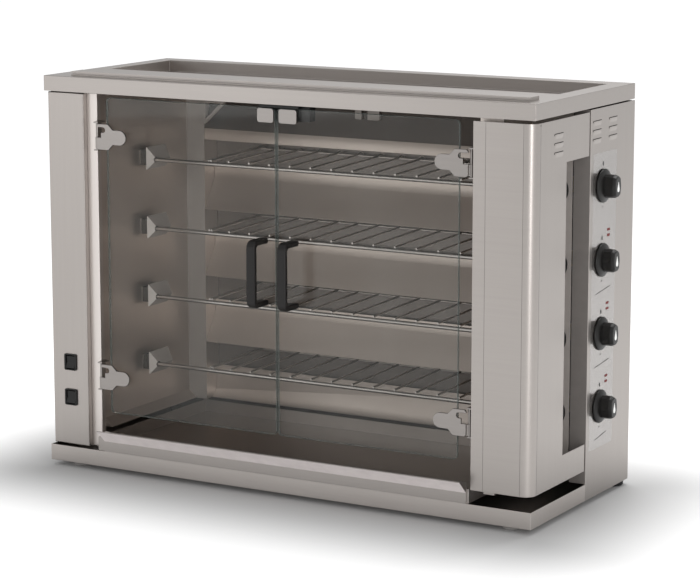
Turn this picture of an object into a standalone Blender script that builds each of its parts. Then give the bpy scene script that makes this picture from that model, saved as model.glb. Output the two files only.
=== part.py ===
"""Four-spit gas rotisserie oven.

Every size is in metres.  The design is laid out from the front left bottom corner of the
base skirt: X runs to the right, Y to the back, Z up.  An empty at the end of the chain of
parents moves that corner so that the world origin lies under the middle of the whole oven,
on the surface that its feet stand on.
"""
import math

import bmesh
import bpy
from mathutils import Matrix, Vector

# ---- driving dimensions ---------------------------------------------------------------
WIDTH = 1.000                 # skirt and top cap, left to right
DEPTH = 0.406                 # skirt and top cap, front to back
CAP_BOTTOM = 0.696
CAP_TOP = 0.724
RAIL_TOP = 0.732
SKIRT_HEIGHT = 0.030
FOOT_HEIGHT = 0.010
FOOT_RADIUS = 0.018
SHEET = 0.0015                # stainless sheet
GAP = 0.0003                  # clearance between pieces that touch

SHELL_BOTTOM = 0.033          # lower edge of the columns
SHELL_TOP = 0.6935            # upper edge of the columns
LEFT_COLUMN = 0.082           # width of the drive column
CHAMBER_LEFT = 0.081          # cooking chamber, inner faces
CHAMBER_RIGHT = 0.886
NICHE_INSET = 0.041           # the burner niches start this far in from the chamber walls
STRIP_Y = 0.350               # corner strips and deflector edges
FASCIA_Y = 0.385
BACK_Y = 0.3955               # front face of the insulated rear panel

LEVELS = 4
TOP_SPIT_Z = 0.5525
LEVEL_PITCH = 0.1315
SPIT_Y = 0.200
SPIT_RADIUS = 0.004
SPIT_GRIP_RADIUS = 0.018
SPIT_START = 0.060
SPIT_END = 0.962

KNOB_Y = 0.274
KNOB_RISE = 0.0035            # knob centres sit this far above the spits
KNOB_RADIUS = 0.030
KNOB_GRIP_RADIUS = 0.0215
KNOB_START = 1.0008
KNOB_TIP = 1.0295

DOOR_BOTTOM = 0.103
DOOR_TOP = 0.689
DOOR_EDGES = ((0.132, 0.4915), (0.4941, 0.854))
DOOR_Y = (0.009, 0.015)
DOOR_PIVOT_Y = 0.012
DOOR_PIVOTS = (0.1100, 0.8760)
HINGE_HEIGHTS = (0.617, 0.170)
HANDLE_X = ((0.4595, 0.4775), (0.5225, 0.5405))
HANDLE_Z = (0.338, 0.459)
HANDLE_FRONT = -0.040

COVER_LEFT = 0.884            # swinging cover over the spit handles
COVER_FRONT = 0.001
COVER_SIDE = 0.999
COVER_REAR = 0.216
COVER_Z = (0.055, 0.690)
COVER_BEND = 0.021
SLOT_Y = 0.125
SLOT_Z = (0.104, 0.614)
COLUMN_FRONT = 0.2203         # fixed control column behind the cover

TRAY_FACE = (0.1236, 0.877)
TRAY_PAN = (0.107, 0.881)
TRAY_BACK = 0.366
TRAY_LIP = (-0.027, 0.0745)   # front edge of the pull lip, y and z

ROCKER_X = 0.0434
ROCKER_HEIGHTS = (0.189, 0.1224)
ROCKER_PIVOT_Y = 0.013
ROCKER_TILT = math.radians(7)

MID_X = KNOB_TIP / 2
MID_Y = (HANDLE_FRONT + DEPTH) / 2


def level_z(level):
    """Height of a spit's axis; level 0 is the top one."""
    return TOP_SPIT_Z - level * LEVEL_PITCH


# ---- building helpers -----------------------------------------------------------------
def clear_scene():
    for obj in list(bpy.data.objects):
        bpy.data.objects.remove(obj, do_unlink=True)


def add_corner_frame():
    """Empty at the skirt's front left bottom corner, which carries every piece."""
    empty = bpy.data.objects.new("corner_frame", None)
    empty.location = (-MID_X, -MID_Y, FOOT_HEIGHT)
    bpy.context.scene.collection.objects.link(empty)
    return empty


def make_material(name, colour, roughness, metallic, alpha=1.0):
    mat = bpy.data.materials.new(name)
    mat.use_nodes = True
    shader = mat.node_tree.nodes["Principled BSDF"]
    shader.inputs["Base Color"].default_value = (*colour, 1.0)
    shader.inputs["Roughness"].default_value = roughness
    shader.inputs["Metallic"].default_value = metallic
    shader.inputs["Alpha"].default_value = alpha
    return mat


def add_object(name, bm, mat, origin=(0, 0, 0)):
    """Turn a bmesh in corner coordinates into an object whose own origin is at origin."""
    bmesh.ops.recalc_face_normals(bm, faces=bm.faces)
    bmesh.ops.translate(bm, verts=bm.verts, vec=-Vector(origin))
    mesh = bpy.data.meshes.new(name)
    bm.to_mesh(mesh)
    bm.free()
    obj = bpy.data.objects.new(name, mesh)
    obj.parent = FRAME
    obj.location = origin
    if mat:
        mesh.materials.append(mat)
    bpy.context.scene.collection.objects.link(obj)
    return obj


def add_cutter(name, bm):
    obj = add_object(name, bm, None)
    obj.hide_render = True
    obj.display_type = "WIRE"
    return obj


def combine(obj, other, operation):
    modifier = obj.modifiers.new(other.name, "BOOLEAN")
    modifier.operation = operation
    modifier.solver = "EXACT"
    modifier.object = other


def cut(obj, bm, name):
    combine(obj, add_cutter(f"cut_{obj.name}_{name}", bm), "DIFFERENCE")


def fuse(obj, bm, name):
    combine(obj, add_cutter(f"add_{obj.name}_{name}", bm), "UNION")


def block(x, y, z):
    """Box between two x, two y and two z values."""
    bm = bmesh.new()
    bmesh.ops.create_cube(bm, size=1.0)
    size = Vector((x[1] - x[0], y[1] - y[0], z[1] - z[0]))
    bmesh.ops.scale(bm, verts=bm.verts, vec=size)
    centre = Vector((x[0] + x[1], y[0] + y[1], z[0] + z[1])) / 2
    bmesh.ops.translate(bm, verts=bm.verts, vec=centre)
    return bm


def prism(outline, axis, span):
    """Extrude a closed outline along an axis.

    The outline's pairs are (y, z) for axis X, (x, z) for axis Y and (x, y) for axis Z.
    """
    bm = bmesh.new()
    place = {
        "X": lambda a, b, c: (c, a, b),
        "Y": lambda a, b, c: (a, c, b),
        "Z": lambda a, b, c: (a, b, c),
    }[axis]
    verts = [bm.verts.new(place(a, b, span[0])) for a, b in outline]
    face = bm.faces.new(verts)
    grown = bmesh.ops.extrude_face_region(bm, geom=[face])
    moved = [item for item in grown["geom"] if isinstance(item, bmesh.types.BMVert)]
    shift = Vector(place(0, 0, span[1])) - Vector(place(0, 0, span[0]))
    bmesh.ops.translate(bm, verts=moved, vec=shift)
    return bm


def rod(axis, centre, radius, span, sides=16, tip_radius=None):
    """Cylinder or cone along an axis; centre holds the two other coordinates in order."""
    bm = bmesh.new()
    tip = radius if tip_radius is None else tip_radius
    bmesh.ops.create_cone(
        bm, cap_ends=True, segments=sides, radius1=radius, radius2=tip, depth=span[1] - span[0])
    if axis == "X":
        turn = Matrix.Rotation(math.pi / 2, 4, "Y")
    elif axis == "Y":
        turn = Matrix.Rotation(-math.pi / 2, 4, "X")
    else:
        turn = Matrix.Identity(4)
    middle = (span[0] + span[1]) / 2
    where = {"X": (middle, *centre), "Y": (centre[0], middle, centre[1]), "Z": (*centre, middle)}[axis]
    bmesh.ops.transform(bm, matrix=Matrix.Translation(where) @ turn, verts=bm.verts)
    return bm


def sheet_outline(path, thickness=SHEET):
    """Outline of a folded sheet: the path is one face, the other lies to its left."""
    points = [Vector(p) for p in path]
    offset = []
    for i, point in enumerate(points):
        sides = []
        if i > 0:
            sides.append((point - points[i - 1]).normalized())
        if i < len(points) - 1:
            sides.append((points[i + 1] - point).normalized())
        normals = [Vector((-d.y, d.x)) for d in sides]
        mitre = sum(normals, Vector((0, 0))).normalized()
        offset.append(point + mitre * (thickness / mitre.dot(normals[0])))
    return [tuple(p) for p in points] + [tuple(p) for p in reversed(offset)]


def arc(centre, radius, start, end, steps):
    """Points on an arc; angles in degrees."""
    angles = [math.radians(start + (end - start) * i / steps) for i in range(steps + 1)]
    return [(centre[0] + radius * math.cos(a), centre[1] + radius * math.sin(a)) for a in angles]


def smooth(obj):
    obj.data.shade_smooth()
    obj.data.set_sharp_from_angle(angle=math.radians(35))
    return obj


# ---- base -----------------------------------------------------------------------------
def skirt_outline(inset):
    """Footprint of the base; its right side steps in where the control column hangs over it."""
    step = 0.0023
    notch = COLUMN_FRONT - 0.0008
    return [
        (inset, inset),
        (WIDTH - inset, inset),
        (WIDTH - inset, notch - inset),
        (WIDTH - step - inset, notch - inset),
        (WIDTH - step - inset, DEPTH - inset),
        (inset, DEPTH - inset),
    ]


def make_base_tray():
    tray = add_object("base_tray", prism(skirt_outline(0), "Z", (0, SKIRT_HEIGHT)), STEEL)
    hollow = prism(skirt_outline(SHEET), "Z", (SHEET, SKIRT_HEIGHT + 0.002))
    cut(tray, hollow, "inside")


def make_feet():
    inset_x, inset_y, rear_inset = 0.050, 0.030, 0.019
    corners = {
        "front_left": (inset_x, inset_y),
        "front_right": (WIDTH - inset_x, inset_y),
        "rear_left": (rear_inset, DEPTH - rear_inset),
        "rear_right": (WIDTH - rear_inset, DEPTH - rear_inset),
    }
    for name, centre in corners.items():
        foot = rod("Z", centre, FOOT_RADIUS - 0.002, (-FOOT_HEIGHT, -GAP), 20, FOOT_RADIUS)
        smooth(add_object(f"foot_{name}", foot, RUBBER))


# ---- left column: cover, jamb and drive -----------------------------------------------
def make_left_column_cover():
    face, side, rear = 0.008, 0.003, 0.3952
    path = [(LEFT_COLUMN, 0.0195), (LEFT_COLUMN, face), (side, face), (side, rear)]
    outline = sheet_outline(list(reversed(path)))
    cover = add_object("left_column_cover", prism(outline, "Z", (SHELL_BOTTOM, SHELL_TOP)), STEEL)
    half_w, half_h = 0.0112, 0.0138
    for number, height in enumerate(ROCKER_HEIGHTS, 1):
        hole = block(
            (ROCKER_X - half_w, ROCKER_X + half_w), (0.004, 0.012), (height - half_h, height + half_h))
        cut(cover, hole, f"switch_{number}")


def make_left_jamb():
    path = [(0.060, 0.020), (0.104, 0.020), (0.104, 0.032)]
    add_object("left_jamb", prism(sheet_outline(path), "Z", (SHELL_BOTTOM, SHELL_TOP)), STEEL)


def make_rockers():
    """Rocker paddles, resting with their upper half pressed in."""
    reach, ridge, half, waist = 0.0072, 0.0050, 0.0115, 0.006
    turn = Matrix.Rotation(-ROCKER_TILT, 2)
    profile = [
        Vector((-reach, half)), Vector((-ridge, 0)), Vector((-reach, -half)),
        Vector((0.004, -waist)), Vector((0.004, waist)),
    ]
    for number, height in enumerate(ROCKER_HEIGHTS, 1):
        outline = [(ROCKER_PIVOT_Y + p.x, height + p.y) for p in (turn @ q for q in profile)]
        bm = prism(outline, "X", (ROCKER_X - 0.0098, ROCKER_X + 0.0098))
        add_object(f"rocker_{number}", bm, BLACK_PLASTIC, (ROCKER_X, ROCKER_PIVOT_Y, height))


SPROCKET_RADIUS = 0.025
SPROCKET_X = (0.046, 0.052)


def make_drive():
    """Sprockets behind the left wall, the chain round them and the gear motor under it."""
    hub = 0.011
    for level in range(LEVELS):
        z = level_z(level)
        name = f"drive_sprocket_{level + 1}"
        sprocket = add_object(
            name, rod("X", (SPIT_Y, z), SPROCKET_RADIUS, SPROCKET_X, 24), DARK_STEEL,
            (SPROCKET_X[0], SPIT_Y, z))
        fuse(sprocket, rod("X", (SPIT_Y, z), hub, (0.0415, 0.0765), 16), "hub")
        cut(sprocket, rod("X", (SPIT_Y, z), SPIT_RADIUS + GAP, (0.0585, 0.080), 16), "bore")
        smooth(sprocket)

    inner = SPROCKET_RADIUS + GAP
    outer = inner + 0.004
    low, high = level_z(LEVELS - 1), level_z(0)
    rings = []
    for radius in (outer, inner):
        rings.append(arc((SPIT_Y, high), radius, 0, 180, 12) + arc((SPIT_Y, low), radius, 180, 360, 12))
    chain = add_object("drive_chain", prism(rings[0], "X", SPROCKET_X), DARK_STEEL)
    cut(chain, prism(rings[1], "X", (SPROCKET_X[0] - 0.002, SPROCKET_X[1] + 0.002)), "loop")

    motor_z = level_z(LEVELS - 1)
    housing = block((0.006, 0.036), (SPIT_Y - 0.035, SPIT_Y + 0.035), (motor_z - 0.040, motor_z + 0.040))
    motor = add_object("gear_motor", housing, DARK_STEEL)
    fuse(motor, rod("X", (SPIT_Y, motor_z), 0.006, (0.034, 0.0412), 12), "shaft")


# ---- cooking chamber ------------------------------------------------------------------
GUTTER_TOP = 0.0775
GUTTER_WIDTH = 0.017          # how far the drip gutter stands in from the wall
WALL_BOTTOM = 0.061


def side_wall(name, wall_x, sign):
    """Chamber side: flat wall, corner strip, niche end and a sloping drip gutter.

    sign is 1 for the left wall, whose inside faces +X, and -1 for the right one.
    """
    niche_x = wall_x + sign * NICHE_INSET
    path = [(wall_x, 0.0235), (wall_x, STRIP_Y), (niche_x, STRIP_Y), (niche_x, BACK_Y - 2 * GAP)]
    if sign < 0:
        path.insert(0, (wall_x + 0.044, 0.0235))
    outline = sheet_outline(path if sign > 0 else list(reversed(path)))
    wall = add_object(name, prism(outline, "Z", (WALL_BOTTOM, SHELL_TOP)), BRIGHT_STEEL)
    root = wall_x - sign * SHEET / 2
    edge = wall_x + sign * GUTTER_WIDTH
    gutter = [(root, GUTTER_TOP), (edge, WALL_BOTTOM + 0.001), (edge, WALL_BOTTOM), (root, WALL_BOTTOM)]
    fuse(wall, prism(gutter, "Y", (0.060, STRIP_Y + SHEET / 2)), "gutter")
    return wall


def guide_plate(z):
    """Folded face of a spit guide: two leaves that meet in a level ridge, hipped in front."""
    bm = bmesh.new()
    edge_y, edge_z = GUIDE_EDGE_Y, [z + rise for rise in GUIDE_EDGE_RISE]
    corners = [(edge_y[0], edge_z[0]), (edge_y[1], edge_z[0]), (edge_y[1], edge_z[1]), (edge_y[0], edge_z[1])]
    back, rim = (
        [bm.verts.new((x, *corner)) for corner in corners] for x in (GUIDE_EDGE_X - SHEET, GUIDE_EDGE_X))
    front_end, rear_end = (bm.verts.new((GUIDE_RIDGE_X, y, z)) for y in GUIDE_RIDGE_Y)
    bm.faces.new(back)
    for i in range(4):
        j = (i + 1) % 4
        bm.faces.new((back[i], back[j], rim[j], rim[i]))
    bm.faces.new((rim[0], rim[1], rear_end, front_end))
    bm.faces.new((rim[1], rim[2], rear_end))
    bm.faces.new((rim[2], rim[3], front_end, rear_end))
    bm.faces.new((rim[3], rim[0], front_end))
    return bm


GUIDE_EDGE_X = 0.101          # outline of the guides' face, standing off the left wall
GUIDE_EDGE_Y = (0.183, 0.246)
GUIDE_EDGE_RISE = (-0.0175, 0.025)
GUIDE_RIDGE_X = 0.113
GUIDE_RIDGE_Y = (SPIT_Y, 0.245)
GUIDE_BOSS_INSET = 0.007      # the boss behind the face is smaller all round


def make_left_wall():
    """Left wall with the four folded guides that lead the spit ends into the drive."""
    wall = side_wall("left_wall", CHAMBER_LEFT, 1)
    for level in range(LEVELS):
        z = level_z(level)
        root = CHAMBER_LEFT - SHEET / 2
        boss_y = (GUIDE_EDGE_Y[0] + GUIDE_BOSS_INSET, GUIDE_EDGE_Y[1] - GUIDE_BOSS_INSET)
        boss_z = [z + rise for rise in (
            GUIDE_EDGE_RISE[0] + GUIDE_BOSS_INSET, GUIDE_EDGE_RISE[1] - GUIDE_BOSS_INSET)]
        fuse(wall, block((root, GUIDE_EDGE_X - SHEET / 2), boss_y, boss_z), f"boss_{level + 1}")
        fuse(wall, guide_plate(z), f"guide_{level + 1}")
        cut(wall, rod("X", (SPIT_Y, z), SPIT_RADIUS + 0.0015, (0.070, 0.120), 12), f"hole_{level + 1}")


DIVIDER_X = (CHAMBER_RIGHT + SHEET / 2, 0.9655)
DIVIDER_Y = (0.2215, 0.2230)  # between the spit grips and the gas valves


def make_right_wall():
    """Right wall with slots that open to the front, so that the spits lift out."""
    wall = side_wall("right_wall", CHAMBER_RIGHT, -1)
    fuse(wall, block(DIVIDER_X, DIVIDER_Y, (WALL_BOTTOM, SHELL_TOP - SHEET)), "divider")
    niche_x = CHAMBER_RIGHT - NICHE_INSET
    for level in range(LEVELS):
        z = level_z(level)
        slot = block((0.880, 0.935), (0.015, SPIT_Y + SPIT_RADIUS + GAP), (z - SPIT_RADIUS - GAP, z + 0.008))
        cut(wall, slot, f"slot_{level + 1}")
        gate = block((niche_x - 0.004, niche_x + 0.004), (0.3866, 0.400), (z - 0.0725, z - 0.0395))
        cut(wall, gate, f"gate_{level + 1}")


def make_rear_panel():
    panel = add_object(
        "rear_panel", block((0.0048, 0.9959), (BACK_Y, DEPTH - SHEET - GAP), (SHEET + GAP, SHELL_TOP)), STEEL)
    cut(panel, rod("Y", (0.950, 0.075), 0.0125, (BACK_Y - 0.01, DEPTH + 0.01), 16), "inlet")


NICHE_X = (CHAMBER_LEFT + NICHE_INSET + GAP, CHAMBER_RIGHT - NICHE_INSET - GAP)


def make_deflectors():
    """Lip in front of each burner and the sheet that slopes down to the next niche."""
    for level in range(LEVELS):
        z = level_z(level)
        lip = (FASCIA_Y, z - 0.033)
        if level < LEVELS - 1:
            low = z - 0.113
            path = [lip, (FASCIA_Y, z - 0.0545), (STRIP_Y, low), (BACK_Y - GAP, low)]
        else:
            path = [lip, (FASCIA_Y, 0.0765), (0.371, 0.0615)]
        outline = sheet_outline(path)
        add_object(f"deflector_{level + 1}", prism(outline, "X", NICHE_X), BRIGHT_STEEL)


def make_top_band():
    """Front band over the top niche and the hood sheet that rises behind it."""
    path = [(BACK_Y - 0.002, 0.6925), (STRIP_Y, 0.598), (STRIP_Y, 0.5758), (BACK_Y - GAP, 0.5758)]
    add_object("top_band", prism(sheet_outline(path), "X", NICHE_X), BRIGHT_STEEL)


def make_burners():
    for level in range(LEVELS):
        z = level_z(level)
        bm = block((NICHE_X[0] + GAP, 0.930), (0.3872, 0.3948), (z - 0.072, z - 0.040))
        add_object(f"burner_{level + 1}", bm, DARK_STEEL)


WIRE = 0.004
WIRE_PITCH = 0.0441
FIRST_WIRE = 0.2309
WIRE_COUNT = 14
RACK_FRONT = 0.197
RACK_REAR = 0.390
RACK_RISE = 0.006


def make_racks():
    """Grate of wires over each spit: a rear bar with teeth, rising slightly to the back."""
    half = WIRE / 2
    for level in range(LEVELS):
        z = level_z(level) + SPIT_RADIUS + GAP + half
        last = FIRST_WIRE + (WIRE_COUNT - 1) * WIRE_PITCH
        outline = [(last + half, RACK_REAR), (FIRST_WIRE - half, RACK_REAR)]
        for i in range(WIRE_COUNT):
            x = FIRST_WIRE + i * WIRE_PITCH
            outline += [(x - half, RACK_FRONT), (x + half, RACK_FRONT)]
            if i < WIRE_COUNT - 1:
                outline += [(x + half, RACK_REAR - WIRE), (x + WIRE_PITCH - half, RACK_REAR - WIRE)]
        bm = prism(outline, "Z", (-half, half))
        slope = math.atan2(RACK_RISE, RACK_REAR - RACK_FRONT)
        hinge = Matrix.Translation((0, RACK_FRONT, z)) @ Matrix.Rotation(slope, 4, "X")
        bmesh.ops.transform(bm, matrix=hinge @ Matrix.Translation((0, -RACK_FRONT, 0)), verts=bm.verts)
        add_object(f"wire_rack_{level + 1}", bm, BRIGHT_STEEL)


def make_chamber_lamp():
    lamp = add_object("chamber_lamp", block((0.600, 0.700), (0.050, 0.074), (0.6960, 0.7215)), DARK_STEEL)
    for number, x in enumerate(((0.6250, 0.6385), (0.6500, 0.6740)), 1):
        fuse(lamp, block(x, (0.056, 0.066), (0.6725, 0.6980)), f"clip_{number}")


def make_spits():
    """Spit rods; the drive end is on the left and a black grip on the right."""
    for level in range(LEVELS):
        z = level_z(level)
        grip = (SPIT_END - 0.038, SPIT_END)
        shaft = rod("X", (SPIT_Y, z), SPIT_RADIUS, (SPIT_START, SPIT_END - 0.002), 12)
        spit = add_object(f"spit_{level + 1}", shaft, BRIGHT_STEEL, (SPIT_START, SPIT_Y, z))
        fuse(spit, rod("X", (SPIT_Y, z), SPIT_GRIP_RADIUS, grip, 20), "grip")
        smooth(spit)


# ---- top ------------------------------------------------------------------------------
def make_top_cap():
    """Top cover with a turned-down edge, a sunk warming tray and a rail along the front."""
    wall = 0.002
    recess_x, recess_y, recess_floor = (0.030, 0.963), (0.165, 0.370), 0.7025
    cap = add_object("top_cap", block((0, WIDTH), (0, DEPTH), (CAP_BOTTOM, CAP_TOP)), STEEL)
    under = block((wall, WIDTH - wall), (wall, DEPTH - wall), (CAP_BOTTOM - 0.002, CAP_TOP - wall))
    cut(cap, under, "under")
    tub = block(
        (recess_x[0] - wall, recess_x[1] + wall), (recess_y[0] - wall, recess_y[1] + wall),
        (recess_floor - wall, CAP_TOP - wall / 2))
    fuse(cap, tub, "tub")
    fuse(cap, block((0.047, 0.978), (0.022, 0.057), (CAP_TOP - wall / 2, RAIL_TOP)), "rail")
    cut(cap, block(recess_x, recess_y, (recess_floor, CAP_TOP + 0.002)), "recess")
    cut(cap, block((0.040, 0.985), (0.018, 0.026), (0.7265, 0.7295)), "groove")


# ---- right side: control column, valves, knobs, swinging cover ------------------------
def make_control_column():
    side = block((WIDTH - 0.002, WIDTH), (COLUMN_FRONT, DEPTH), (0, SHELL_TOP))
    column = add_object("control_column", side, STEEL)
    lip_z = (SKIRT_HEIGHT + 2 * GAP, SHELL_TOP)
    fuse(column, block((0.968, WIDTH - 0.001), (COLUMN_FRONT, COLUMN_FRONT + 0.002), lip_z), "front_lip")
    for level in range(LEVELS):
        hole = rod("X", (KNOB_Y, level_z(level) + KNOB_RISE), 0.006, (0.990, 1.010), 12)
        cut(column, hole, f"spindle_{level + 1}")


def make_gas_manifold():
    """Vertical gas pipe with its inlet at the back and one valve behind each knob."""
    pipe = rod("Z", (0.950, 0.300), 0.008, (0.066, 0.580), 12)
    manifold = add_object("gas_manifold", pipe, BRASS)
    fuse(manifold, rod("Y", (0.950, 0.075), 0.010, (0.296, DEPTH - 0.0005), 12), "inlet")
    for level in range(LEVELS):
        z = level_z(level) + KNOB_RISE
        fuse(manifold, block((0.945, 0.985), (0.262, 0.306), (z - 0.014, z + 0.014)), f"valve_{level + 1}")
        fuse(manifold, rod("X", (KNOB_Y, z), 0.0035, (0.984, 1.012), 8), f"spindle_{level + 1}")


def make_knobs():
    """Round skirt with a tapered grip that has two broad flats, bored for its spindle."""
    flat = 0.014
    for level in range(LEVELS):
        z = level_z(level) + KNOB_RISE
        skirt = rod("X", (KNOB_Y, z), KNOB_RADIUS, (KNOB_START, KNOB_START + 0.0045), 32, KNOB_RADIUS - 0.002)
        knob = add_object(f"knob_{level + 1}", skirt, BLACK_PLASTIC, (KNOB_START, KNOB_Y, z))
        grip = rod(
            "X", (KNOB_Y, z), KNOB_GRIP_RADIUS, (KNOB_START + 0.004, KNOB_TIP), 24, KNOB_GRIP_RADIUS - 0.0015)
        fuse(knob, grip, "grip")
        for side in (-1, 1):
            y = sorted((KNOB_Y + side * flat, KNOB_Y + side * 0.040))
            cheek = block((KNOB_START + 0.0075, KNOB_TIP + 0.002), y, (z - 0.03, z + 0.03))
            cut(knob, cheek, f"flat_{side + 2}")
        cut(knob, rod("X", (KNOB_Y, z), 0.0038, (KNOB_START - 0.002, KNOB_START + 0.0125), 8), "bore")
        smooth(knob)


def make_spit_cover():
    """L-shaped door over the spit grips, hinged on its rear edge, open round the grips."""
    centre = (COVER_SIDE - COVER_BEND, COVER_FRONT + COVER_BEND)
    path = [(COVER_LEFT, COVER_FRONT + 0.0065), (COVER_LEFT, COVER_FRONT)]
    path += arc(centre, COVER_BEND, -90, 0, 8)
    path.append((COVER_SIDE, COVER_REAR))
    cover = add_object(
        "spit_cover", prism(sheet_outline(path), "Z", COVER_Z), STEEL, COVER_HINGE)
    cut(cover, block((0.990, 1.010), (SLOT_Y, COVER_REAR + 0.005), SLOT_Z), "slot")
    smooth(cover)


COVER_HINGE = (COVER_SIDE - SHEET / 2, COVER_REAR, COVER_Z[0])


# ---- drip tray ------------------------------------------------------------------------
def make_drip_tray():
    floor, rim = SKIRT_HEIGHT + GAP, 0.056
    pan = block(TRAY_PAN, (0.002, TRAY_BACK), (floor, rim))
    tray = add_object("drip_tray", pan, STEEL, (WIDTH / 2, 0, floor))
    inner_x = (TRAY_PAN[0] + SHEET, TRAY_PAN[1] - SHEET)
    cut(tray, block(inner_x, (0.002 + SHEET, TRAY_BACK - SHEET), (floor + SHEET, rim + 0.002)), "inside")
    face = [
        (0.0028, floor), (0.0028, 0.068), (0.0005, 0.068), (0.0005, 0.052), (TRAY_LIP[0], TRAY_LIP[1]),
        (TRAY_LIP[0] - 0.001, TRAY_LIP[1] - 0.0012), (-0.001, 0.0495), (-0.001, floor)]
    fuse(tray, prism(face, "X", TRAY_FACE), "front")


# ---- glass doors ----------------------------------------------------------------------
def rounded_rectangle(x, z, radius, steps=3):
    corners = ((x[1] - radius, z[1] - radius, 0), (x[0] + radius, z[1] - radius, 90),
               (x[0] + radius, z[0] + radius, 180), (x[1] - radius, z[0] + radius, 270))
    outline = []
    for cx, cz, start in corners:
        outline += arc((cx, cz), radius, start, start + 90, steps)
    return outline


def hinge_plate_outline(pivot, height, sign):
    """Octagonal head beside the pivot and a round-ended tongue along the glass."""
    head_start, head_end, tongue_end = 0.0035, 0.0385, 0.067
    head, tongue, corner = 0.0235, 0.0135, 0.010
    right = [
        (head_start, head), (head_start, -head), (head_end - corner, -head), (head_end, -tongue)]
    right += arc((tongue_end - tongue, 0), tongue, -90, 90, 8)
    right += [(head_end, tongue), (head_end - corner, head)]
    return [(pivot + sign * a, height + b) for a, b in right]


def make_door(side, number):
    """One glass door with its hinge plates, handle and catch plate on the same pivot."""
    pivot = DOOR_PIVOTS[number]
    edges = DOOR_EDGES[number]
    sign = 1 if number == 0 else -1
    origin = (pivot, DOOR_PIVOT_Y, DOOR_BOTTOM)
    glass = prism(rounded_rectangle(edges, (DOOR_BOTTOM, DOOR_TOP), 0.008), "Y", DOOR_Y)
    add_object(f"glass_door_{side}", glass, GLASS, origin)

    plate_y = (0.0045, DOOR_Y[0] - GAP)
    for place, height in zip(("upper", "lower"), HINGE_HEIGHTS):
        plate = add_object(
            f"hinge_plate_{side}_{place}", prism(hinge_plate_outline(pivot, height, sign), "Y", plate_y),
            BRIGHT_STEEL, (pivot, DOOR_PIVOT_Y, height))
        barrel = (pivot, DOOR_PIVOT_Y)
        fuse(plate, rod("Z", barrel, 0.0058, (height - 0.014, height + 0.014), 12), "barrel")
        cut(plate, rod("Z", barrel, 0.0029, (height - 0.03, height + 0.03), 12), "bore")

    grip, corner, leg = 0.010, 0.014, HANDLE_Z
    outer = arc((HANDLE_FRONT + corner, leg[0] + corner), corner, 270, 180, 4)
    outer += arc((HANDLE_FRONT + corner, leg[1] - corner), corner, 180, 90, 4)
    inner_front = HANDLE_FRONT + grip
    inner = [
        (inner_front + 0.004, leg[1] - grip), (inner_front, leg[1] - grip - 0.004),
        (inner_front, leg[0] + grip + 0.004), (inner_front + 0.004, leg[0] + grip)]
    foot_y = DOOR_Y[0] - GAP
    outline = [(foot_y, leg[0])] + outer + [(foot_y, leg[1]), (foot_y, leg[1] - grip)] + inner
    outline.append((foot_y, leg[0] + grip))
    add_object(f"handle_{side}", prism(outline, "X", HANDLE_X[number]), BLACK_PLASTIC, origin)

    catch_x = ((0.4575, 0.4905), (0.5015, 0.5375))[number]
    plate = prism(rounded_rectangle(catch_x, (0.6635, DOOR_TOP - 0.0005), 0.004, 2), "Y", plate_y)
    add_object(f"catch_plate_{side}", plate, BRIGHT_STEEL, origin)


def make_hinge_brackets():
    """Brackets on the door posts: a pin held between two ears."""
    outer = 0.0265
    for side, pivot, post, sign in (
            ("left", DOOR_PIVOTS[0], 0.104 + GAP, 1), ("right", DOOR_PIVOTS[1], CHAMBER_RIGHT - GAP, -1)):
        for place, height in zip(("upper", "lower"), HINGE_HEIGHTS):
            back = sorted((post, post + sign * 0.0015))
            plate_y = (0.0205, 0.0315)
            if side == "right":
                plate_y = (0.0240, 0.0335)
            bm = block(back, plate_y, (height - outer, height + outer))
            bracket = add_object(f"hinge_bracket_{side}_{place}", bm, BRIGHT_STEEL)
            reach = sorted((post, pivot + sign * 0.0035))
            for end in (-1, 1):
                ear_z = sorted((height + end * outer, height + end * (outer - 0.0025)))
                fuse(bracket, block(reach, (0.0085, plate_y[1]), ear_z), f"ear_{end + 2}")
            pin_z = (height - outer + 0.001, height + outer - 0.001)
            pin = rod("Z", (pivot, DOOR_PIVOT_Y), 0.0025, pin_z, 12)
            fuse(bracket, pin, "pin")


def make_magnet_catch():
    catch = add_object("magnet_catch", block((0.466, 0.558), (0.0158, 0.036), (0.667, 0.693)), BLACK_PLASTIC)
    fuse(catch, block((0.462, 0.5417), (0.004, 0.034), (0.6905, 0.6945)), "strip")


# ---- the oven -------------------------------------------------------------------------
clear_scene()
FRAME = add_corner_frame()
STEEL = make_material("brushed_steel", (0.43, 0.40, 0.38), 0.35, 1.0)
BRIGHT_STEEL = make_material("bright_steel", (0.52, 0.50, 0.48), 0.25, 1.0)
DARK_STEEL = make_material("dark_steel", (0.12, 0.12, 0.12), 0.45, 0.9)
BLACK_PLASTIC = make_material("black_plastic", (0.018, 0.018, 0.018), 0.42, 0.0)
RUBBER = make_material("rubber", (0.03, 0.03, 0.03), 0.7, 0.0)
BRASS = make_material("brass", (0.60, 0.44, 0.18), 0.35, 1.0)
GLASS = make_material("glass", (0.80, 0.90, 0.87), 0.05, 0.0, 0.25)

make_base_tray()
make_feet()
make_left_column_cover()
make_left_jamb()
make_rockers()
make_drive()
make_left_wall()
make_right_wall()
make_rear_panel()
make_deflectors()
make_top_band()
make_burners()
make_racks()
make_chamber_lamp()
make_spits()
make_top_cap()
make_control_column()
make_gas_manifold()
make_knobs()
make_spit_cover()
make_drip_tray()
make_door("left", 0)
make_door("right", 1)
make_hinge_brackets()
make_magnet_catch()
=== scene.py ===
import math

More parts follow.
